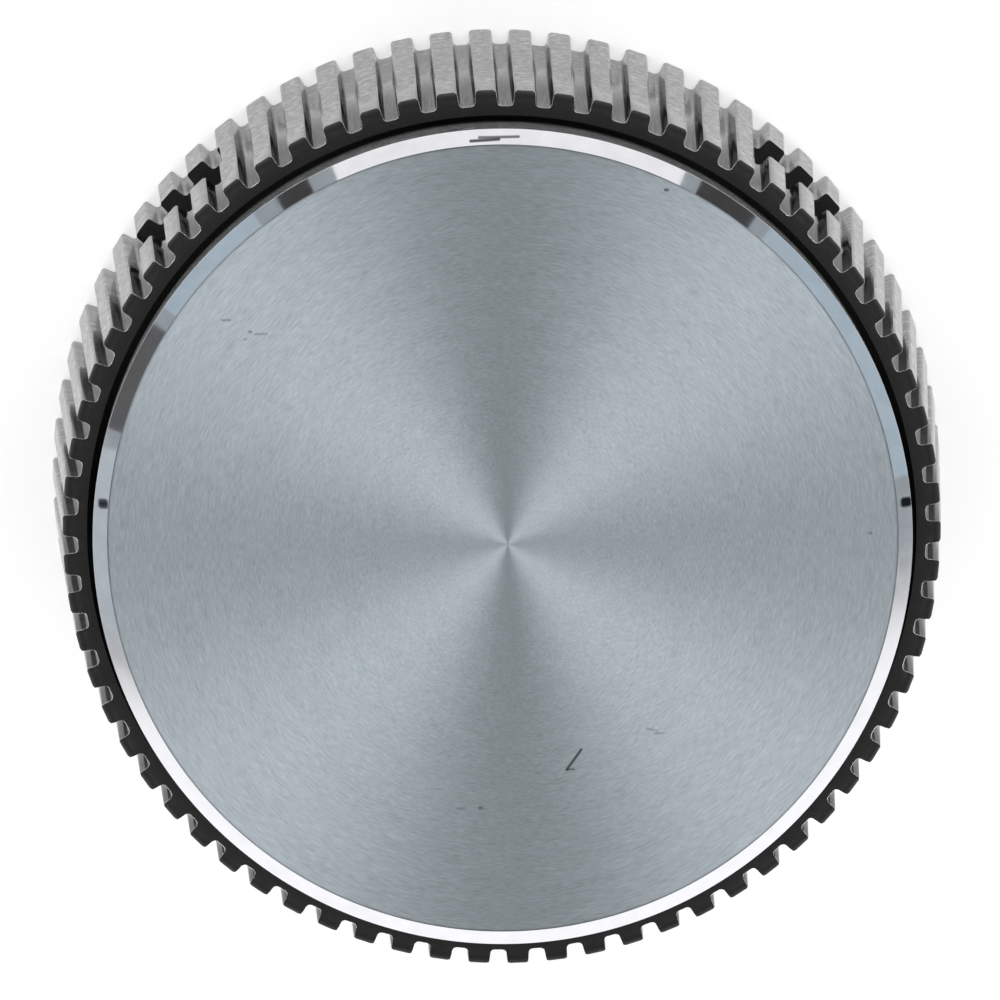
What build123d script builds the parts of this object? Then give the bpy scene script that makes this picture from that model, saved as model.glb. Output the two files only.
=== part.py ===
from build123d import *
from math import cos, hypot, radians, sin
import os

os.makedirs("parts", exist_ok=True)

# A push-on control knob that stands on its rear rim, face up.
# The origin is the centre of the rear rim and +Z runs along the shaft towards the face.

# Fluted rim
rim_front_d = 36.0
rim_flare = 0.86
rim_length = 23.2
rim_nose_r = 0.5
rim_lip = 0.39
rim_ledge = 0.1
flute_count = 70
flute_turn_deg = 0.85
flute_depth = 0.62
flute_mouth_w = 0.76
flute_root_w = 0.62
flute_root_r = 0.18

# Windows in the rim, two pairs that face each other
window_from_y_deg = 45.75
window_z = 7.0
window_h = 6.3
window_w = 5.2
window_corner_r = 0.6

# Face cap
seam_gap = 0.29
cap_seat_depth = 1.6
cap_proud = 3.9
cap_bevel = 0.6
cap_face_t = 1.5
cap_wall_t = 1.25

# Hub core
core_fit = 0.05
plate_t = 2.4
collar_t = 1.8
collar_length = 3.0
tongue_t = 1.6
tongue_margin = 0.6
tongue_tail = 0.8
catch_reach = 1.5
catch_fit = 0.1
rib_count = 4
rib_t = 1.4
rib_drop = 6.0

# Boss for the shaft
boss_d = 10.0
boss_recess = 5.0
shaft_d = 6.0
shaft_depth = 14.0
boss_slot_w = 1.2
boss_slot_depth = 9.0

# Spring ring on the boss
ring_wire_d = 1.0
ring_from_mouth = 2.0
ring_fit = 0.05
ring_groove_depth = 0.45
ring_open_deg = 50

# Room that a cut runs past the face it leaves by
overrun = 0.5

# Radii, from the crests of the flutes inwards
rim_front_r = rim_front_d / 2
rim_rear_r = rim_front_r + rim_flare
land_root_r = rim_front_r - flute_depth
cap_seat_r = land_root_r - rim_lip
cap_r = cap_seat_r - seam_gap
cap_inner_r = cap_r - cap_wall_t
rim_bore_r = cap_inner_r - rim_ledge
core_r = rim_bore_r - core_fit
collar_inner_r = core_r - collar_t
tongue_inner_r = core_r - tongue_t
boss_r = boss_d / 2
shaft_r = shaft_d / 2

# Heights above the rear rim
cap_seat_z = rim_length - cap_seat_depth
cap_top_z = rim_length + cap_proud
plate_top_z = cap_top_z - cap_face_t
plate_under_z = plate_top_z - plate_t
collar_end_z = cap_seat_z - collar_length
tongue_end_z = window_z - tongue_tail
ring_z = boss_recess + ring_from_mouth

# A window looks outwards at each of these turns from +X
window_turns = [
    90 - window_from_y_deg,
    90 + window_from_y_deg,
    270 - window_from_y_deg,
    270 + window_from_y_deg,
]


def section_plane(turn):
    # Plane through the shaft's axis, with its X outwards at this turn and its Y along the shaft
    outward = (cos(radians(turn)), sin(radians(turn)), 0)
    across = (sin(radians(turn)), -cos(radians(turn)), 0)
    return Plane(origin=(0, 0, 0), x_dir=outward, z_dir=across)


def window_plane(turn, radius):
    # Plane at a window's centre, facing outwards, with its Y along the shaft
    outward = (cos(radians(turn)), sin(radians(turn)), 0)
    along = (-sin(radians(turn)), cos(radians(turn)), 0)
    centre = (radius * outward[0], radius * outward[1], window_z + window_h / 2)
    return Plane(origin=centre, x_dir=along, z_dir=outward)


# One flute's cut follows the flared root from the rear to the front
flute_slant = hypot(rim_flare, rim_length)
flute_dir = (-rim_flare / flute_slant, 0, rim_length / flute_slant)
flute_start = (
    rim_rear_r - flute_depth - overrun * flute_dir[0],
    0,
    -overrun * flute_dir[2],
)
flank_spread = (flute_mouth_w - flute_root_w) / flute_depth
flute_top = flute_depth + overrun
flute_top_w = flute_root_w + flank_spread * flute_top

with BuildPart() as flute_cut:
    with BuildSketch(Plane(origin=flute_start, x_dir=(0, -1, 0), z_dir=flute_dir)) as flute_outline:
        with BuildLine():
            Polyline(
                (-flute_root_w / 2, 0),
                (flute_root_w / 2, 0),
                (flute_top_w / 2, flute_top),
                (-flute_top_w / 2, flute_top),
                close=True,
            )
        make_face()
        fillet(flute_outline.vertices().group_by(Axis.Y)[0], flute_root_r)
    extrude(amount=flute_slant + 2 * overrun)

# Rim: a flared sleeve with a rounded front edge, a counterbore for the cap, flutes and four windows
with BuildPart() as fluted_rim:
    with BuildSketch(Plane.XZ) as rim_outline:
        with BuildLine():
            Polyline(
                (rim_bore_r, 0),
                (rim_rear_r, 0),
                (rim_front_r, rim_length),
                (cap_seat_r, rim_length),
                (cap_seat_r, cap_seat_z),
                (rim_bore_r, cap_seat_z),
                close=True,
            )
        make_face()
        front_corners = rim_outline.vertices().group_by(Axis.Y)[-1]
        fillet(front_corners.sort_by(Axis.X)[-1], rim_nose_r)
    revolve(axis=Axis.Z)
    with PolarLocations(0, flute_count, start_angle=90 + flute_turn_deg + 180 / flute_count):
        add(flute_cut.part, mode=Mode.SUBTRACT)
    with BuildSketch(*[window_plane(turn, rim_bore_r - overrun) for turn in window_turns]):
        RectangleRounded(window_w, window_h, window_corner_r)
    extrude(amount=rim_rear_r - rim_bore_r + 2 * overrun, mode=Mode.SUBTRACT)
fluted_rim.part.label = "fluted_rim"
export_step(fluted_rim.part, "parts/fluted_rim.step")

# Cap: a turned cup, face up, with its edge cut to a bevel
with BuildPart() as face_cap:
    with BuildSketch(Plane.XZ):
        with BuildLine():
            Polyline(
                (0, plate_top_z),
                (cap_inner_r, plate_top_z),
                (cap_inner_r, cap_seat_z),
                (cap_r, cap_seat_z),
                (cap_r, cap_top_z - cap_bevel),
                (cap_r - cap_bevel, cap_top_z),
                (0, cap_top_z),
                close=True,
            )
        make_face()
    revolve(axis=Axis.Z)
face_cap.part.label = "face_cap"
export_step(face_cap.part, "parts/face_cap.step")

# Hub core: plate, collar and boss are one turned form, with tongues, catches and ribs moulded on
with BuildPart() as hub_core:
    with BuildSketch(Plane.XZ):
        with BuildLine():
            Polyline(
                (0, plate_top_z),
                (core_r, plate_top_z),
                (core_r, collar_end_z),
                (collar_inner_r, collar_end_z),
                (collar_inner_r, plate_under_z),
                (boss_r, plate_under_z),
                (boss_r, boss_recess),
                (0, boss_recess),
                close=True,
            )
        make_face()
    revolve(axis=Axis.Z)
    with BuildSketch(Plane.XY.offset(tongue_end_z)):
        for turn in window_turns:
            with Locations(Location((0, 0, 0), (0, 0, turn))):
                Rectangle(
                    rim_rear_r,
                    window_w + 2 * tongue_margin,
                    align=(Align.MIN, Align.CENTER),
                )
        Circle(core_r, mode=Mode.INTERSECT)
        Circle(tongue_inner_r, mode=Mode.SUBTRACT)
    extrude(amount=plate_under_z - tongue_end_z)
    with BuildSketch(*[window_plane(turn, tongue_inner_r + tongue_t / 2) for turn in window_turns]):
        RectangleRounded(
            window_w - 2 * catch_fit,
            window_h - 2 * catch_fit,
            window_corner_r - catch_fit,
        )
    extrude(amount=tongue_t / 2 + catch_reach)
    with BuildSketch(*[section_plane(360 * rib / rib_count) for rib in range(rib_count)]):
        with BuildLine():
            Polyline(
                (boss_r - rib_t / 2, plate_under_z),
                (collar_inner_r, plate_under_z),
                (boss_r - rib_t / 2, plate_under_z - rib_drop),
                close=True,
            )
        make_face()
    extrude(amount=rib_t / 2, both=True)
    with BuildSketch(Plane.XY.offset(boss_recess)):
        Circle(shaft_r)
    extrude(amount=shaft_depth, mode=Mode.SUBTRACT)
    with BuildSketch(Plane.XY.offset(boss_recess)):
        Rectangle(boss_d + overrun, boss_slot_w)
    extrude(amount=boss_slot_depth, mode=Mode.SUBTRACT)
    with BuildSketch(Plane.XZ):
        with Locations((boss_r - ring_groove_depth, ring_z)):
            Rectangle(
                ring_groove_depth + overrun,
                ring_wire_d + 2 * ring_fit,
                align=(Align.MIN, Align.CENTER),
            )
    revolve(axis=Axis.Z, mode=Mode.SUBTRACT)
hub_core.part.label = "hub_core"
export_step(hub_core.part, "parts/hub_core.step")

# Spring ring: an open turn of round wire in the boss's groove
with BuildPart() as boss_spring_ring:
    with BuildSketch(section_plane(ring_open_deg / 2 - 90)):
        with Locations((boss_r - ring_groove_depth + ring_fit + ring_wire_d / 2, ring_z)):
            Circle(ring_wire_d / 2)
    revolve(axis=Axis.Z, revolution_arc=360 - ring_open_deg)
boss_spring_ring.part.label = "boss_spring_ring"
export_step(boss_spring_ring.part, "parts/boss_spring_ring.step")
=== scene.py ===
import bpy
import bmesh
from math import cos, pi, radians, sin, sqrt, tau
from mathutils import Matrix, Vector


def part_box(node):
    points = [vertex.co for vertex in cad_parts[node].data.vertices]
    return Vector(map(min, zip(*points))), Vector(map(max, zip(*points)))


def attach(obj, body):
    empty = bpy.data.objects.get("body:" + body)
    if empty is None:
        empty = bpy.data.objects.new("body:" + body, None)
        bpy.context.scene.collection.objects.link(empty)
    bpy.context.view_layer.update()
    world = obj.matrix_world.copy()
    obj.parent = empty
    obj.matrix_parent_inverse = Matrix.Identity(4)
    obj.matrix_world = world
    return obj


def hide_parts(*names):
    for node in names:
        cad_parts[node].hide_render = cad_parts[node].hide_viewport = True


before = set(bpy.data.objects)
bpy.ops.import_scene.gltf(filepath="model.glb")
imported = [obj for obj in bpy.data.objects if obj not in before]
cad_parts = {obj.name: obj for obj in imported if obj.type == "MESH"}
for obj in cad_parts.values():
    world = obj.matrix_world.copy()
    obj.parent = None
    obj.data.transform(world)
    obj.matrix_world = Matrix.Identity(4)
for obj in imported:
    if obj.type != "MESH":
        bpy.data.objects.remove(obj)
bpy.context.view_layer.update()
mm = 0.001
touch = 0.001 * mm  # points nearer than this are one
scene = bpy.context.scene
print("frame loaded:", sorted(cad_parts))


# Short hands for building node trees

def addNode(tree, kind, **settings):
    node = tree.nodes.new(kind)
    for name, value in settings.items():
        setattr(node, name, value)
    return node


def feed(tree, target, value):  # a socket is linked, anything else is typed in
    if isinstance(value, bpy.types.NodeSocket):
        tree.links.new(value, target)
    else:
        target.default_value = value


def mathNode(tree, operation, *values, clamp=False):
    node = addNode(tree, "ShaderNodeMath", operation=operation, use_clamp=clamp)
    for target, value in zip(node.inputs, values):
        feed(tree, target, value)
    return node.outputs[0]


def vectorNode(tree, operation, *values):
    node = addNode(tree, "ShaderNodeVectorMath", operation=operation)
    for target, value in zip(node.inputs, values):
        feed(tree, target, value)
    single = operation in ("LENGTH", "DISTANCE", "DOT_PRODUCT")
    return node.outputs["Value" if single else "Vector"]


def remap(tree, value, fromLow, fromHigh, toLow=0.0, toHigh=1.0, smooth=False):
    node = addNode(tree, "ShaderNodeMapRange", interpolation_type="SMOOTHSTEP" if smooth else "LINEAR")
    for target, item in zip(node.inputs, (value, fromLow, fromHigh, toLow, toHigh)):
        feed(tree, target, item)
    return node.outputs["Result"]


def vary(tree, noise, middle, spread):  # a value that wanders to both sides of its middle
    return remap(tree, noise, 0.3, 0.7, middle - spread, middle + spread)


def mixColour(tree, factor, first, second, blend="MIX"):
    node = addNode(tree, "ShaderNodeMix", data_type="RGBA", blend_type=blend)
    feed(tree, node.inputs[0], factor)
    feed(tree, node.inputs[6], first)
    feed(tree, node.inputs[7], second)
    return node.outputs[2]


def noiseNode(tree, vector, scale, detail=2.0, roughness=0.5):
    node = addNode(tree, "ShaderNodeTexNoise")
    feed(tree, node.inputs["Vector"], vector)
    feed(tree, node.inputs["Scale"], scale)
    feed(tree, node.inputs["Detail"], detail)
    feed(tree, node.inputs["Roughness"], roughness)
    return node.outputs["Fac"]


def newGroup(name, inputs, outputs):
    tree = bpy.data.node_groups.new(name, "ShaderNodeTree")
    for socketName, kind, value in inputs:
        socket = tree.interface.new_socket(socketName, in_out="INPUT", socket_type="NodeSocket" + kind)
        if value is not None:
            socket.default_value = value
    for socketName, kind in outputs:
        tree.interface.new_socket(socketName, in_out="OUTPUT", socket_type="NodeSocket" + kind)
    return tree, addNode(tree, "NodeGroupInput").outputs, addNode(tree, "NodeGroupOutput").inputs


def useGroup(tree, group, **values):
    node = addNode(tree, "ShaderNodeGroup", node_tree=group)
    for name, value in values.items():
        feed(tree, node.inputs[name], value)
    return node.outputs


def newMaterial(name, **constants):
    material = bpy.data.materials.new(name)
    material.use_nodes = True
    shader = material.node_tree.nodes["Principled BSDF"]
    for socketName, value in constants.items():
        shader.inputs[socketName].default_value = value
    place = addNode(material.node_tree, "ShaderNodeTexCoord").outputs["Object"]
    return material, material.node_tree, shader.inputs, place


def bumpNode(tree, height, strength, distance):
    node = addNode(tree, "ShaderNodeBump")
    node.inputs["Strength"].default_value = strength
    node.inputs["Distance"].default_value = distance
    feed(tree, node.inputs["Height"], height)
    return node.outputs["Normal"]


# Shared effects

def makeAxisGroup():  # where a point lies round the shaft's axis
    tree, given, out = newGroup(
        "axisPlace",
        [("Place", "Vector", None), ("Centre", "Vector", (0.0, 0.0, 0.0))],
        [("Radius", "Float"), ("Height", "Float"), ("Around", "Vector"), ("Outward", "Vector")],
    )
    moved = vectorNode(tree, "SUBTRACT", given["Place"], given["Centre"])
    flat = vectorNode(tree, "MULTIPLY", moved, (1.0, 1.0, 0.0))
    split = addNode(tree, "ShaderNodeSeparateXYZ")
    feed(tree, split.inputs[0], moved)
    outward = vectorNode(tree, "NORMALIZE", flat)
    feed(tree, out["Radius"], vectorNode(tree, "LENGTH", flat))
    feed(tree, out["Height"], split.outputs["Z"])
    feed(tree, out["Outward"], outward)
    feed(tree, out["Around"], vectorNode(tree, "CROSS_PRODUCT", (0.0, 0.0, 1.0), outward))
    return tree


def makeTurnedGroup():  # fine lines left by turning, broken into arcs
    tree, given, out = newGroup(
        "turnedLines",
        [("Across", "Float", 0.0), ("Outward", "Vector", None),
         ("Pitch", "Float", 0.1 * mm), ("Arcs", "Float", 3.0)],
        [("Lines", "Float")],
    )
    lane = mathNode(tree, "DIVIDE", given["Across"], given["Pitch"])
    arc = vectorNode(tree, "SCALE", given["Outward"])
    feed(tree, arc.node.inputs["Scale"], given["Arcs"])
    lift = addNode(tree, "ShaderNodeCombineXYZ")
    feed(tree, lift.inputs["Z"], lane)
    feed(tree, out["Lines"], noiseNode(tree, vectorNode(tree, "ADD", arc, lift.outputs[0]), 1.0, 3.0, 0.6))
    return tree


def makeSpeckGroup():  # small scattered specks, dark or light as the material likes
    tree, given, out = newGroup(
        "fineSpecks",
        [("Place", "Vector", None), ("Size", "Float", 0.1 * mm), ("Amount", "Float", 0.1)],
        [("Mask", "Float")],
    )
    grain = mathNode(tree, "DIVIDE", 1.0, given["Size"])
    level = mathNode(tree, "SUBTRACT", 0.78, given["Amount"])
    value = noiseNode(tree, given["Place"], grain, 1.0, 0.4)
    feed(tree, out["Mask"], remap(tree, value, level, mathNode(tree, "ADD", level, 0.06), smooth=True))
    return tree


def makeStrokeGroup():  # one short dark stroke between two points, seen from above: a scratch, and on the bevel a painted dark reflection
    tree, given, out = newGroup(
        "shortStroke",
        [("Place", "Vector", None), ("From", "Vector", None), ("To", "Vector", None),
         ("Width", "Float", 0.1 * mm)],
        [("Mask", "Float")],
    )
    flat = vectorNode(tree, "MULTIPLY", given["Place"], (1.0, 1.0, 0.0))
    run = vectorNode(tree, "SUBTRACT", given["To"], given["From"])
    past = vectorNode(tree, "SUBTRACT", flat, given["From"])
    share = mathNode(tree, "DIVIDE", vectorNode(tree, "DOT_PRODUCT", past, run),
                     vectorNode(tree, "DOT_PRODUCT", run, run), clamp=True)
    along = vectorNode(tree, "SCALE", run)
    feed(tree, along.node.inputs["Scale"], share)
    away = vectorNode(tree, "DISTANCE", past, along)
    inner = mathNode(tree, "MULTIPLY", given["Width"], 0.3)
    feed(tree, out["Mask"], remap(tree, away, given["Width"], inner, smooth=True))
    return tree


axisPlace = makeAxisGroup()
turnedLines = makeTurnedGroup()
fineSpecks = makeSpeckGroup()
shortStroke = makeStrokeGroup()


# Face cap: spun face, polished bevel and dull side

capLook = {
    "spunCentre": (0.19 * mm, -0.22 * mm, 0.0),  # the spinning was a little off the middle
    "faceColour": (0.42, 0.47, 0.505),
    "faceRoughness": 0.50,
    "faceStretch": 0.82,
    "faceWander": 0.03,  # how far the roughness varies to each side
    "finePitch": 0.05 * mm,
    "fineArcs": 32.0,
    "fineContrast": 0.16,
    "broadPitch": 0.40 * mm,
    "broadArcs": 6.0,
    "broadContrast": 0.04,
    "paintedEdgeReflectionWidth": 0.09 * mm,  # painted dark reflection of the edge's break: the face darkens to this shade over this width at its edge
    "paintedEdgeReflectionShade": 0.40,
    # dark colour of the scratches and of the painted dark reflections on the bevel
    "markAndReflectionColour": (0.025, 0.026, 0.03, 1.0),
    "marks": (  # dark scratches and dots as from x, from y, to x, to y, width in mm, strength
        (-9.9, 8.6, -9.4, 8.6, 0.06, 0.35),
        (-10.1, 8.7, -10.05, 8.7, 0.08, 0.50),
        (-10.3, 8.4, -10.25, 8.4, 0.08, 0.30),
        (-11.2, 9.2, -10.9, 9.2, 0.07, 0.40),
        (3.0, -8.7, 2.4, -9.5, 0.08, 0.80),
        (2.4, -9.5, 2.7, -9.5, 0.06, 0.60),
        (6.9, 14.1, 7.0, 14.1, 0.09, 0.70),
        (5.7, -7.9, 6.1, -8.0, 0.06, 0.30),
        (6.0, -8.1, 6.4, -8.1, 0.06, 0.30),
        (-1.2, -11.0, -1.1, -11.0, 0.09, 0.50),
        (-2.1, -11.0, -1.8, -11.0, 0.06, 0.30),
        (14.9, -0.1, 15.0, -0.1, 0.09, 0.35),
    ),
    "polishColour": (0.81, 0.81, 0.84),
    "polishRoughness": 0.055,
    "polishWander": 0.025,
    "hazeSize": 1.2 * mm,
    "hazeShade": 0.99,
    "hazeContrast": 0.05,
    "sideColour": (0.65, 0.66, 0.66),
    "sideMetal": 0.5,
    "sideRoughness": 0.14,
    "sideWander": 0.05,
    "sidePitch": 0.10 * mm,
    "sideArcs": 12.0,
    "sideShade": 0.95,
    "sideContrast": 0.20,
    "mottleSize": 0.30 * mm,
    "mottleContrast": 0.40,
    "bevelPaintedReflections": (  # painted dark reflections on the polished bevel, a slit and two small squares, given in the same way
        (-0.95, 16.25, 0.2, 16.3, 0.09, 0.90),
        (-0.6, 16.38, 1.0, 16.38, 0.08, 0.80),
        (16.35, 1.17, 16.55, 1.17, 0.20, 1.00),
        (16.35, 1.03, 16.55, 1.03, 0.20, 1.00),
        (-16.15, 1.87, -16.3, 1.87, 0.20, 0.90),
        (-16.15, 1.73, -16.3, 1.73, 0.20, 0.90),
    ),
}


def shaded(tree, colour, shade):  # a colour made lighter or darker
    lit = vectorNode(tree, "SCALE", colour)
    feed(tree, lit.node.inputs["Scale"], shade)
    return lit


# dark strokes: scratches and wear, and on the bevel painted dark reflections
def addMarksAndReflections(tree, place, colour, marks):
    for mark in marks:
        fromX, fromY, toX, toY, width = (size * mm for size in mark[:5])
        found = useGroup(tree, shortStroke, Place=place, Width=width,
                         From=(fromX, fromY, 0.0), To=(toX, toY, 0.0))
        share = mathNode(tree, "MULTIPLY", found["Mask"], mark[5])
        colour = mixColour(tree, share, colour, capLook["markAndReflectionColour"])
    return colour


def makeSpunFace():
    material, tree, shader, place = newMaterial("spunFace", Metallic=1.0,
                                                Anisotropic=capLook["faceStretch"])
    spun = useGroup(tree, axisPlace, Place=place, Centre=capLook["spunCentre"])
    fine = useGroup(tree, turnedLines, Across=spun["Radius"], Outward=spun["Outward"],
                    Pitch=capLook["finePitch"], Arcs=capLook["fineArcs"])
    broad = useGroup(tree, turnedLines, Across=spun["Radius"], Outward=spun["Outward"],
                     Pitch=capLook["broadPitch"], Arcs=capLook["broadArcs"])
    tone = mathNode(tree, "ADD", vary(tree, fine["Lines"], 0.0, capLook["fineContrast"]),
                    vary(tree, broad["Lines"], 0.0, capLook["broadContrast"]))
    colour = shaded(tree, capLook["faceColour"], mathNode(tree, "ADD", 1.0, tone))
    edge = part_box("face_cap")[1].x - capShape["bevel"]
    # painted dark reflection: the face's colour darkens in a thin ring at its edge
    paintedEdgeReflection = remap(tree, useGroup(tree, axisPlace, Place=place)["Radius"], edge - capLook["paintedEdgeReflectionWidth"], edge,
                   1.0, capLook["paintedEdgeReflectionShade"])
    colour = shaded(tree, colour, paintedEdgeReflection)
    feed(tree, shader["Base Color"], addMarksAndReflections(tree, place, colour, capLook["marks"]))
    feed(tree, shader["Roughness"],
         vary(tree, fine["Lines"], capLook["faceRoughness"], capLook["faceWander"]))
    feed(tree, shader["Tangent"], spun["Outward"])
    return material


def makePolishedEdge():
    material, tree, shader, place = newMaterial("polishedEdge", Metallic=1.0)
    haze = noiseNode(tree, place, 1 / capLook["hazeSize"], 3.0, 0.6)
    colour = shaded(tree, capLook["polishColour"],
                    vary(tree, haze, capLook["hazeShade"], capLook["hazeContrast"]))
    # the bevel's colour carries painted dark reflections: a slit at the top and a small square at each side
    feed(tree, shader["Base Color"], addMarksAndReflections(tree, place, colour, capLook["bevelPaintedReflections"]))
    feed(tree, shader["Roughness"], vary(tree, haze, capLook["polishRoughness"], capLook["polishWander"]))
    return material


def makeTurnedSide():
    material, tree, shader, place = newMaterial("turnedSide", Metallic=capLook["sideMetal"])
    at = useGroup(tree, axisPlace, Place=place)
    turned = useGroup(tree, turnedLines, Across=at["Height"], Outward=at["Outward"],
                      Pitch=capLook["sidePitch"], Arcs=capLook["sideArcs"])
    mottle = noiseNode(tree, place, 1 / capLook["mottleSize"], 2.0, 0.6)
    tone = mathNode(tree, "ADD", vary(tree, turned["Lines"], capLook["sideShade"], capLook["sideContrast"]),
                    vary(tree, mottle, 0.0, capLook["mottleContrast"]))
    feed(tree, shader["Base Color"], shaded(tree, capLook["sideColour"], tone))
    feed(tree, shader["Roughness"],
         vary(tree, turned["Lines"], capLook["sideRoughness"], capLook["sideWander"]))
    return material


capShape = {
    "wall": 1.25 * mm,
    "faceThickness": 1.5 * mm,
    "bevel": 0.6 * mm,
    "edgeRound": 0.012 * mm,
    "edgeSteps": 3,
    "faceInset": 0.05 * mm,  # a flat ring that keeps the face's shading even
    "steps": 360,
    "sharpFrom": 8,  # degrees between faces that show as an edge
}


def makeCap():
    low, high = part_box("face_cap")
    radius = (high.x - low.x) / 2
    inner, under = radius - capShape["wall"], high.z - capShape["faceThickness"]
    bm = bmesh.new()
    outline = [
        (0, high.z), (radius - capShape["bevel"], high.z), (radius, high.z - capShape["bevel"]),
        (radius, low.z), (inner, low.z), (inner, under), (0, under),
    ]
    dots = [bm.verts.new((x, 0, z)) for x, z in outline]
    lines = [bm.edges.new(pair) for pair in zip(dots, dots[1:])]
    bmesh.ops.spin(bm, geom=dots + lines, cent=(0, 0, 0), axis=(0, 0, 1), dvec=(0, 0, 0),
                   angle=tau, steps=capShape["steps"], use_merge=True)
    bmesh.ops.remove_doubles(bm, verts=bm.verts[:], dist=touch)
    bmesh.ops.recalc_face_normals(bm, faces=bm.faces[:])
    ringEdges = [
        edge for edge in bm.edges
        if abs(edge.verts[0].co.z - edge.verts[1].co.z) < touch
        and abs(edge.verts[0].co.xy.length - edge.verts[1].co.xy.length) < touch
        and edge.verts[0].co.xy.length > inner / 2
    ]
    bmesh.ops.bevel(bm, geom=ringEdges, offset=capShape["edgeRound"], offset_type="OFFSET",
                    segments=capShape["edgeSteps"], profile=0.5, affect="EDGES", material=-1)
    topFaces = [
        face for face in bm.faces
        if face.normal.z > 0.999 and face.calc_center_median().z > high.z - touch
    ]
    bmesh.ops.inset_region(bm, faces=topFaces, thickness=capShape["faceInset"], depth=0)
    for face in bm.faces:
        face.smooth = True
        face.material_index = 1 if face.calc_center_median().z > high.z - capShape["bevel"] else 2
        if face.normal.z > 0.75 and face.calc_center_median().z > high.z - capShape["edgeRound"]:
            face.material_index = 0  # the face and the break of its edge
    return bm


def finishPiece(name, bm, materials, node):
    mesh = bpy.data.meshes.new(name)
    bm.to_mesh(mesh)
    bm.free()
    for material in materials:
        mesh.materials.append(material)
    piece = bpy.data.objects.new(name, mesh)
    scene.collection.objects.link(piece)
    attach(piece, "root")
    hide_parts(node)
    return piece


cap = finishPiece("spunCap", makeCap(), [makeSpunFace(), makePolishedEdge(), makeTurnedSide()],
                  "face_cap")
cap.data.set_sharp_from_angle(angle=radians(capShape["sharpFrom"]))
print("cap made:", len(cap.data.polygons), "faces")


# Fluted rim: cut flutes in bare metal, front land and window walls in matt black

rimShape = {
    "flare": 0.86 * mm,
    "flutes": 70,
    "fluteTurn": 0.85,  # degrees from +Y to the middle of the first tooth
    "depth": 0.62 * mm,
    "mouth": 0.76 * mm,
    "root": 0.62 * mm,
    "rootRound": 0.18 * mm,
    "rootSteps": (0.56 * mm, 0.60 * mm),  # depths where the round of the root is divided
    "nose": 0.5 * mm,  # round of the front edge, black like the land
    "noseTurns": (0, 30, 60),  # degrees where the round is divided
    "nearRadius": 0.02 * mm,  # points this near to a radius stay where they are
    "edgeBreak": 0.03 * mm,
    "breakSteps": 2,
    "crestRound": 0.10 * mm,
    "lip": 0.39 * mm,
    "seat": 1.6 * mm,
    "ledge": 0.1 * mm,
    "seam": 0.29 * mm,
    "windowTurn": 45.75,  # degrees to each side of +Y and -Y
    "windowLow": 7.0 * mm,
    "windowHeight": 6.3 * mm,
    "windowWidth": 5.2 * mm,
    "windowRound": 0.6 * mm,
    "cornerSteps": 6,
    "sharpFrom": 34,  # degrees between faces that show as an edge
}

rimLook = {
    "crestColour": (0.43, 0.43, 0.423),
    "flankPaintedShade": 0.60,  # painted shade: the flanks are coloured darker than the crests by this share
    "rootPaintedShade": 0.65,  # painted shade: the roots are coloured darker than the crests by this share
    "flankFromShares": (0.01, 0.07),  # of the depth, where the crest's finish gives way to the flank's and the painted flank shade begins
    "rootFromShares": (0.85, 0.97),
    "crestPitch": 0.6 * mm,
    "crestArcs": 60.0,
    "drawnPitch": 3.0 * mm,  # long lines down the flanks and roots
    "drawnArcs": 350.0,
    "lineShade": 0.95,
    "lineContrast": 0.35,
    "flankContrast": 0.15,
    "grainStrength": 0.10,
    "grainDepth": 0.02 * mm,
    "cutRoughness": 0.12,
    "cutWander": 0.06,
    "grazingTint": (0.45, 0.45, 0.45, 1.0),
    "edgeColour": (0.90, 0.90, 0.89),
    "edgeRoughness": 0.28,
    "edgeWander": 0.08,
    "wornSize": 0.4 * mm,
    "wornShade": 0.875,
    "wornContrast": 0.275,
    "marks": (  # on the crests as along the rim from +Y and height, twice, width in mm, strength
        (1.15, 4.6, 1.65, 4.6, 0.50, 0.60),
        (-1.62, 0.6, -1.62, 2.6, 0.22, 0.80),
        (4.40, 0.6, 4.40, 2.6, 0.22, 0.80),
    ),
    "landColour": (0.0065, 0.0063, 0.006, 1.0),
    "speckColour": (0.030, 0.030, 0.029, 1.0),
    "landRoughness": 0.55,
    "landWander": 0.08,
    "landGloss": 0.3,
    "speckSize": 0.08 * mm,
    "speckAmount": 0.10,
    "cloudSize": 0.5 * mm,
}


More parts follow.
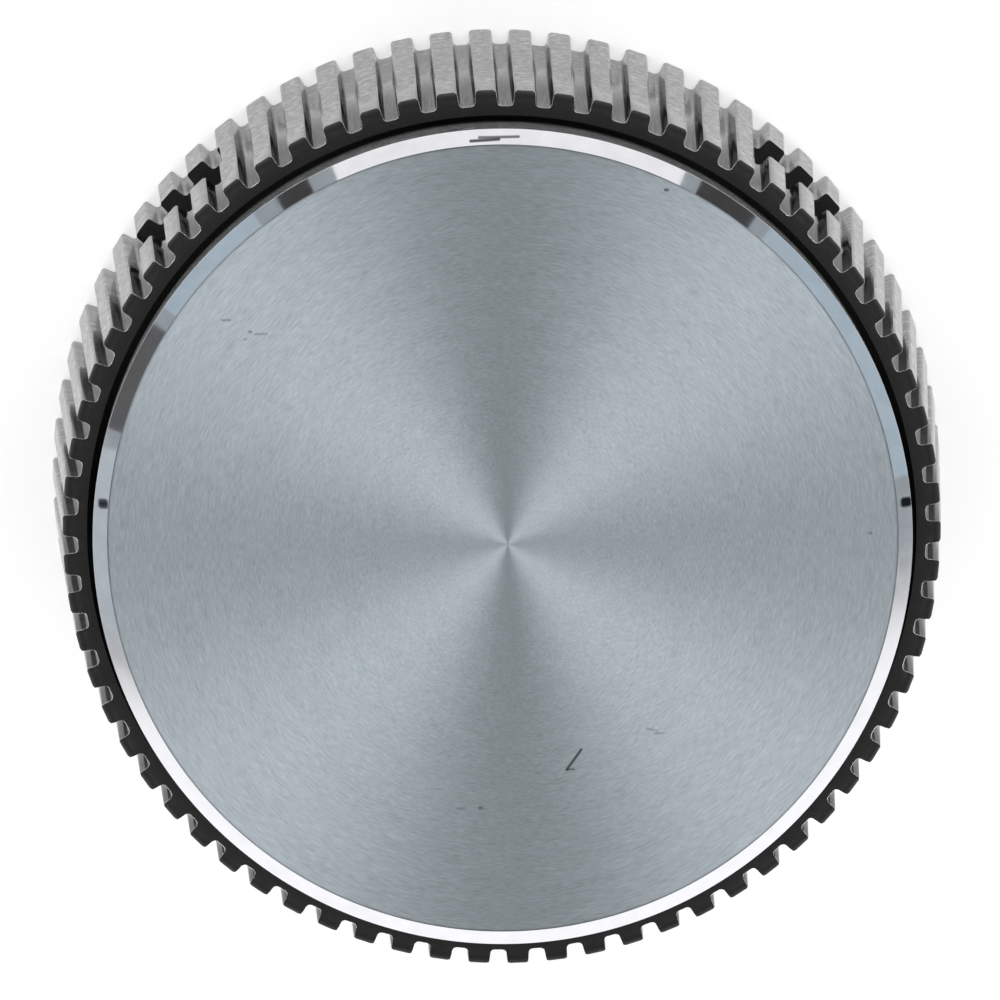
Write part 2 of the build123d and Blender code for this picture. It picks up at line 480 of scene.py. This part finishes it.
def makeCutFlutes():
    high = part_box("fluted_rim")[1]
    material, tree, shader, place = newMaterial("cutFlutes", Metallic=1.0)
    shader["Specular Tint"].default_value = rimLook["grazingTint"]
    at = useGroup(tree, axisPlace, Place=place)
    crest = remap(tree, at["Height"], 0.0, high.z, high.x, high.x - rimShape["flare"])
    below = mathNode(tree, "DIVIDE", mathNode(tree, "SUBTRACT", crest, at["Radius"]), rimShape["depth"])
    turned = useGroup(tree, turnedLines, Across=at["Height"], Outward=at["Outward"],
                      Pitch=rimLook["crestPitch"], Arcs=rimLook["crestArcs"])
    drawn = useGroup(tree, turnedLines, Across=at["Height"], Outward=at["Outward"],
                     Pitch=rimLook["drawnPitch"], Arcs=rimLook["drawnArcs"])

    def pick(share, first, second):
        kept = mathNode(tree, "MULTIPLY", first, mathNode(tree, "SUBTRACT", 1.0, share))
        return mathNode(tree, "ADD", kept, mathNode(tree, "MULTIPLY", second, share))

    crestTone = vary(tree, turned["Lines"], rimLook["lineShade"], rimLook["lineContrast"])
    rootLines = vary(tree, drawn["Lines"], rimLook["lineShade"], rimLook["lineContrast"])
    rootLinesAndShade = mathNode(tree, "MULTIPLY", rootLines, rimLook["rootPaintedShade"])
    flankLines = vary(tree, drawn["Lines"], 1.0, rimLook["flankContrast"])
    flankLinesAndShade = mathNode(tree, "MULTIPLY", flankLines, rimLook["flankPaintedShade"])
    # flanks and roots get painted shade: the same metal as the crests, coloured darker, with their drawn
    # lines
    tone = pick(remap(tree, below, *rimLook["flankFromShares"], smooth=True), crestTone, flankLinesAndShade)
    tone = pick(remap(tree, below, *rimLook["rootFromShares"], smooth=True), tone, rootLinesAndShade)
    split = addNode(tree, "ShaderNodeSeparateXYZ")
    feed(tree, split.inputs[0], place)
    turn = mathNode(tree, "ARCTAN2", split.outputs["X"], split.outputs["Y"])
    unrolled = addNode(tree, "ShaderNodeCombineXYZ")
    feed(tree, unrolled.inputs["X"], mathNode(tree, "MULTIPLY", turn, high.x))
    feed(tree, unrolled.inputs["Y"], split.outputs["Z"])
    colour = shaded(tree, rimLook["crestColour"], tone)
    feed(tree, shader["Base Color"], addMarksAndReflections(tree, unrolled.outputs[0], colour, rimLook["marks"]))
    feed(tree, shader["Roughness"],
         vary(tree, turned["Lines"], rimLook["cutRoughness"], -rimLook["cutWander"]))
    grain = pick(remap(tree, below, *rimLook["flankFromShares"]), turned["Lines"], drawn["Lines"])
    feed(tree, shader["Normal"], bumpNode(tree, grain, rimLook["grainStrength"], rimLook["grainDepth"]))
    return material


def makeBrightEdge():
    material, tree, shader, place = newMaterial("brightEdge", Metallic=1.0)
    worn = noiseNode(tree, place, 1 / rimLook["wornSize"], 2.0, 0.6)
    tone = vary(tree, worn, rimLook["wornShade"], rimLook["wornContrast"])
    feed(tree, shader["Base Color"], shaded(tree, rimLook["edgeColour"], tone))
    feed(tree, shader["Roughness"], vary(tree, worn, rimLook["edgeRoughness"], -rimLook["edgeWander"]))
    return material


def makeBlackLand():
    material, tree, shader, place = newMaterial("blackLand")
    shader["Specular IOR Level"].default_value = rimLook["landGloss"]
    specks = useGroup(tree, fineSpecks, Place=place, Size=rimLook["speckSize"], Amount=rimLook["speckAmount"])
    cloud = noiseNode(tree, place, 1 / rimLook["cloudSize"], 3.0, 0.6)
    feed(tree, shader["Base Color"],
         mixColour(tree, specks["Mask"], rimLook["landColour"], rimLook["speckColour"]))
    feed(tree, shader["Roughness"], vary(tree, cloud, rimLook["landRoughness"], rimLook["landWander"]))
    return material


def drawOut(bm, edges, place, finish):  # extrudes a chain of edges, place moves its new points
    made = bmesh.ops.extrude_edge_only(bm, edges=edges)["geom"]
    points = {item for item in made if isinstance(item, bmesh.types.BMVert)}
    drawn = [item for item in made if isinstance(item, bmesh.types.BMEdge)]
    chain = [edge for edge in drawn if points.issuperset(edge.verts)]
    for point in points:
        point.co = place(point.co)
    for edge in chain:
        for face in edge.link_faces:
            face.material_index = finish
    return chain


def makeRim():
    low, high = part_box("fluted_rim")
    rear = (high.x - low.x) / 2
    front, nose = rear - rimShape["flare"], rimShape["nose"]
    seatRadius = front - rimShape["depth"] - rimShape["lip"]
    bore = seatRadius - rimShape["seam"] - capShape["wall"] - rimShape["ledge"]
    half = pi / rimShape["flutes"]
    halfMouth, halfRoot = rimShape["mouth"] / 2, rimShape["root"] / 2
    noseSteps = [nose * (1 - sin(radians(turn))) for turn in rimShape["noseTurns"]]  # depths below the crest
    slope = (halfMouth - halfRoot) / rimShape["depth"]
    slant, rootRound, crestRound = sqrt(1 + slope ** 2), rimShape["rootRound"], rimShape["crestRound"]
    roundDepth = rimShape["depth"] - rootRound
    roundMiddle = halfMouth - slope * roundDepth - rootRound * slant
    roundStart = roundDepth + rootRound * slope / slant

    def flank(depth, side):  # a point of the flute's side at the rear
        spread = halfMouth - slope * depth
        if depth < crestRound:
            spread += crestRound - sqrt(crestRound ** 2 - (crestRound - depth) ** 2)
        if depth > roundStart:
            spread = roundMiddle + sqrt(max(0, rootRound ** 2 - (depth - roundDepth) ** 2))
        return sqrt(rear ** 2 - halfMouth ** 2) - depth, side * spread

    def noseDrop(radius):  # how far the rounded front edge lies below the land at a radius
        past = max(0, radius - (front - nose))
        return nose - sqrt(max(0, nose ** 2 - min(past, nose) ** 2))

    def lean(co):  # from the rear to the front, inwards along the flare
        turn = half if co.y > halfMouth * 1.5 else -half if co.y < -halfMouth * 1.5 else 0
        moved = co - Vector((rimShape["flare"] * cos(turn), rimShape["flare"] * sin(turn), 0))
        return Vector((moved.x, moved.y, high.z - noseDrop(moved.xy.length)))

    def shrink(radius):  # draws the front outline in to a radius, along the rounded edge
        def place(co):
            if co.xy.length < radius + rimShape["nearRadius"]:
                return co
            return Vector((*(co.xy.normalized() * radius), high.z - noseDrop(radius)))
        return place

    def ring(radius, height):
        return lambda co: Vector((*(co.xy.normalized() * radius), height))

    def rearPoint(co):  # the point of the rear outline that leans to the same ray
        rays = [(abs(co.xy.angle_signed(lean(Vector((*dot, 0))).xy)), dot) for dot in outline]
        return Vector((*min(rays)[1], 0))

    bm = bmesh.new()
    depths = sorted([0, *noseSteps, roundStart, *rimShape["rootSteps"], rimShape["depth"]])
    outline = [(rear * cos(half), -rear * sin(half))]
    outline += [flank(depth, -1) for depth in depths] + [flank(depth, 1) for depth in reversed(depths)]
    outline += [(rear * cos(half), rear * sin(half))]
    dots = [bm.verts.new((x, y, 0)) for x, y in outline]
    rearChain = [bm.edges.new(pair) for pair in zip(dots, dots[1:])]
    chain = drawOut(bm, rearChain, lean, 0)
    for depth in reversed(noseSteps):
        chain = drawOut(bm, chain, shrink(front - depth), 1)
    for radius, height in ((seatRadius, high.z), (seatRadius, high.z - rimShape["seat"]),
                           (bore, high.z - rimShape["seat"]), (bore, 0)):
        chain = drawOut(bm, chain, ring(radius, height), 1)
    drawOut(bm, chain, rearPoint, 1)
    bmesh.ops.remove_doubles(bm, verts=bm.verts[:], dist=touch)
    bmesh.ops.recalc_face_normals(bm, faces=bm.faces[:])

    sharp = [edge for edge in bm.edges if {face.material_index for face in edge.link_faces} == {0, 1}]
    broken = bmesh.ops.bevel(bm, geom=sharp, offset=rimShape["edgeBreak"], offset_type="OFFSET",
                             segments=rimShape["breakSteps"], profile=0.5, affect="EDGES",
                             clamp_overlap=True, material=-1)
    for face in broken["faces"]:
        face.material_index = 2
    startTurn = radians(90 + rimShape["fluteTurn"]) + half
    bmesh.ops.rotate(bm, verts=bm.verts[:], cent=(0, 0, 0), matrix=Matrix.Rotation(startTurn, 3, "Z"))
    copies = rimShape["flutes"] - 1
    bmesh.ops.spin(bm, geom=bm.verts[:] + bm.edges[:] + bm.faces[:], cent=(0, 0, 0), axis=(0, 0, 1),
                   dvec=(0, 0, 0), angle=tau * copies / rimShape["flutes"], steps=copies, use_duplicate=True)
    bmesh.ops.remove_doubles(bm, verts=bm.verts[:], dist=touch)
    bmesh.ops.recalc_face_normals(bm, faces=bm.faces[:])
    for face in bm.faces:
        face.smooth = True
    return bm


def makeWindowCutter():
    low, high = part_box("fluted_rim")
    reach = (high.x - low.x) / 2
    bm = bmesh.new()
    for turn in (90 - rimShape["windowTurn"], 90 + rimShape["windowTurn"],
                 270 - rimShape["windowTurn"], 270 + rimShape["windowTurn"]):
        box = bmesh.ops.create_cube(bm, size=1)["verts"]
        bmesh.ops.scale(bm, verts=box, vec=(reach / 2, rimShape["windowWidth"], rimShape["windowHeight"]))
        bmesh.ops.translate(bm, verts=box,
                            vec=(reach, 0, rimShape["windowLow"] + rimShape["windowHeight"] / 2))
        corners = [edge for edge in {edge for vert in box for edge in vert.link_edges}
                   if abs(edge.verts[0].co.x - edge.verts[1].co.x) > reach / 4]
        bmesh.ops.rotate(bm, verts=box, cent=(0, 0, 0), matrix=Matrix.Rotation(radians(turn), 3, "Z"))
        bmesh.ops.bevel(bm, geom=corners, offset=rimShape["windowRound"], offset_type="OFFSET",
                        segments=rimShape["cornerSteps"], profile=0.5, affect="EDGES", material=-1)
    for face in bm.faces:
        face.material_index = 1
    bmesh.ops.recalc_face_normals(bm, faces=bm.faces[:])
    mesh = bpy.data.meshes.new("windowCutter")
    bm.to_mesh(mesh)
    bm.free()
    cutter = bpy.data.objects.new("windowCutter", mesh)
    scene.collection.objects.link(cutter)
    return cutter


def cutWindows(piece):
    cutter = makeWindowCutter()
    cut = piece.modifiers.new("windows", "BOOLEAN")
    cut.operation = "DIFFERENCE"
    cut.solver = "EXACT"
    cut.object = cutter
    bpy.context.view_layer.update()
    shaped = bpy.data.meshes.new_from_object(piece.evaluated_get(bpy.context.evaluated_depsgraph_get()))
    piece.modifiers.clear()
    piece.data = shaped
    bpy.data.objects.remove(cutter)


rim = finishPiece("flutedRim", makeRim(), [makeCutFlutes(), makeBlackLand(), makeBrightEdge()],
                  "fluted_rim")
cutWindows(rim)
rim.data.set_sharp_from_angle(angle=radians(rimShape["sharpFrom"]))
print("rim made:", len(rim.data.polygons), "faces")


# Hub moulding and spring ring keep their solids and get their finish here

hubLook = {
    "colour": (0.018, 0.018, 0.019, 1.0),
    "roughness": 0.48,
    "wander": 0.08,
    "grainSize": 0.25 * mm,
    "grainStrength": 0.15,
    "grainDepth": 0.02 * mm,
    "steelColour": (0.52, 0.52, 0.53, 1.0),
    "steelRoughness": 0.28,
    "steelWander": 0.06,
    "steelGrain": 0.15 * mm,
}


def makeHubPlastic():
    material, tree, shader, place = newMaterial("mouldedHub")
    grain = noiseNode(tree, place, 1 / hubLook["grainSize"], 3.0, 0.6)
    shader["Base Color"].default_value = hubLook["colour"]
    feed(tree, shader["Roughness"], vary(tree, grain, hubLook["roughness"], hubLook["wander"]))
    feed(tree, shader["Normal"], bumpNode(tree, grain, hubLook["grainStrength"], hubLook["grainDepth"]))
    return material


def makeSpringSteel():
    material, tree, shader, place = newMaterial("springWire", Metallic=1.0)
    grain = noiseNode(tree, place, 1 / hubLook["steelGrain"], 3.0, 0.6)
    shader["Base Color"].default_value = hubLook["steelColour"]
    feed(tree, shader["Roughness"], vary(tree, grain, hubLook["steelRoughness"], hubLook["steelWander"]))
    return material


def coat(nodeName, material):
    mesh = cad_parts[nodeName].data
    mesh.materials.clear()
    mesh.materials.append(material)


coat("hub_core", makeHubPlastic())
coat("boss_spring_ring", makeSpringSteel())
print("hub and spring finished")


# Floor, light and camera

studio = {
    "floorSize": 1.2,
    "floorColour": (0.6, 0.6, 0.6, 1.0),
    "floorRoughness": 0.9,
    "floorLift": 0.58,  # what the floor adds to show white
    "liftReach": (0.40, 0.58),  # how far from the knob its reflections still find the floor white
    "skyColour": (0.17, 0.17, 0.17, 1.0),
    "horizonColour": (0.34, 0.38, 0.40, 1.0),
    "panelTop": (0.14, 0.22),  # where the panels fade out, as the sine of the elevation
    "panels": (  # low panels round the room as from and to in degrees clockwise from +Y, colour
        (-112, -82, (0.50, 0.55, 0.58)),
        (-80, -62, (0.12, 0.12, 0.12)),
        (-60, -40, (0.43, 0.52, 0.58)),
        (-36, -30, (0.06, 0.06, 0.06)),
        (-26, 30, (1.0, 1.0, 1.0)),
        (33, 43, (0.06, 0.06, 0.06)),
        (46, 88, (0.43, 0.52, 0.58)),
    ),
    "boxTurns": (47, 133, 227, 313),  # degrees clockwise from +Y
    "boxElevation": 50,
    "boxDistance": 0.8,
    "boxSize": 0.5,
    "boxPower": 2.0,
}


def makeFloor():
    bm = bmesh.new()
    bmesh.ops.create_grid(bm, x_segments=1, y_segments=1, size=studio["floorSize"] / 2)
    mesh = bpy.data.meshes.new("floor")
    bm.to_mesh(mesh)
    bm.free()
    floor = bpy.data.objects.new("floor", mesh)
    scene.collection.objects.link(floor)
    material = bpy.data.materials.new("paleFloor")
    material.use_nodes = True
    tree = material.node_tree
    shader = tree.nodes["Principled BSDF"].inputs
    shader["Base Color"].default_value = studio["floorColour"]
    shader["Roughness"].default_value = studio["floorRoughness"]
    shader["Specular IOR Level"].default_value = 0.0
    seen = addNode(tree, "ShaderNodeLightPath").outputs
    away = vectorNode(tree, "LENGTH", addNode(tree, "ShaderNodeTexCoord").outputs["Object"])
    mirrored = mathNode(tree, "MAXIMUM", seen["Is Glossy Ray"], seen["Is Transmission Ray"])
    mirrored = mathNode(tree, "MULTIPLY", mirrored,
                        remap(tree, away, *studio["liftReach"], 1.0, 0.0, smooth=True))
    shown = mathNode(tree, "MAXIMUM", seen["Is Camera Ray"], mirrored)
    shader["Emission Color"].default_value = (1.0, 1.0, 1.0, 1.0)
    feed(tree, shader["Emission Strength"], mathNode(tree, "MULTIPLY", shown, studio["floorLift"]))
    mesh.materials.append(material)


def makeWorld():
    world = bpy.data.worlds.new("studio")
    world.use_nodes = True
    scene.world = world
    tree = world.node_tree
    split = addNode(tree, "ShaderNodeSeparateXYZ")
    feed(tree, split.inputs[0], addNode(tree, "ShaderNodeTexCoord").outputs["Generated"])
    around = mathNode(tree, "ARCTAN2", split.outputs["X"], split.outputs["Y"])
    room = addNode(tree, "ShaderNodeValToRGB")  # half a turn to each side of +Y, from 0 to 1
    feed(tree, room.inputs["Fac"], remap(tree, around, -pi, pi))
    room.color_ramp.interpolation = "CONSTANT"
    stops = room.color_ramp.elements
    stops.remove(stops[1])
    stops[0].color = studio["horizonColour"]
    for start, stop, tint in studio["panels"]:
        stops.new(start / 360 + 0.5).color = (*tint, 1.0)
        stops.new(stop / 360 + 0.5).color = studio["horizonColour"]
    low = remap(tree, split.outputs["Z"], *studio["panelTop"], 1.0, 0.0, smooth=True)
    colour = mixColour(tree, low, studio["skyColour"], room.outputs["Color"])
    feed(tree, tree.nodes["Background"].inputs["Color"], colour)


def makeSoftBoxes():
    high = radians(studio["boxElevation"])
    for turn in studio["boxTurns"]:
        lamp = bpy.data.lights.new("softBox", "AREA")
        lamp.shape = "SQUARE"
        lamp.size = studio["boxSize"]
        lamp.energy = studio["boxPower"]
        box = bpy.data.objects.new("softBox", lamp)
        scene.collection.objects.link(box)
        away = Vector((sin(radians(turn)) * cos(high), cos(radians(turn)) * cos(high), sin(high)))
        box.location = away * studio["boxDistance"]
        box.rotation_euler = away.to_track_quat("Z", "Y").to_euler()
        box.visible_camera = False


cameraView = {
    "distance": 0.5994,  # from the middle of the rim's front
    "lens": 526.9,
    "sensor": 36,
    "clip": (0.01, 10),
    "tilt": 5.93,
    "swing": 0.58,
    "roll": 1.32,
    "rimPixel": (501.95, 529.0),  # where the middle of the rim's front shows in the photograph
    "frameSize": 1000,
}


def makeCamera():
    camera = bpy.data.cameras.new("photoCamera")
    camera.lens = cameraView["lens"]
    camera.sensor_width = cameraView["sensor"]
    camera.clip_start, camera.clip_end = cameraView["clip"]
    eye = bpy.data.objects.new("photoCamera", camera)
    scene.collection.objects.link(eye)
    scene.camera = eye
    rimMiddle = Vector((0, 0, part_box("fluted_rim")[1].z))
    pixel = cameraView["distance"] * camera.sensor_width / camera.lens / cameraView["frameSize"]
    seenAt = Vector((
        (cameraView["rimPixel"][0] - cameraView["frameSize"] / 2) * pixel,
        (cameraView["frameSize"] / 2 - cameraView["rimPixel"][1]) * pixel,
        -cameraView["distance"],
    ))
    turn = (Matrix.Rotation(radians(cameraView["swing"]), 4, "Y")
            @ Matrix.Rotation(radians(cameraView["tilt"]), 4, "X")
            @ Matrix.Rotation(radians(cameraView["roll"]), 4, "Z"))
    eye.matrix_world = (Matrix.Translation(seenAt) @ turn @ Matrix.Translation(-rimMiddle)).inverted()


makeFloor()
makeWorld()
makeSoftBoxes()
makeCamera()
scene.view_settings.view_transform = "Standard"
print("studio set")
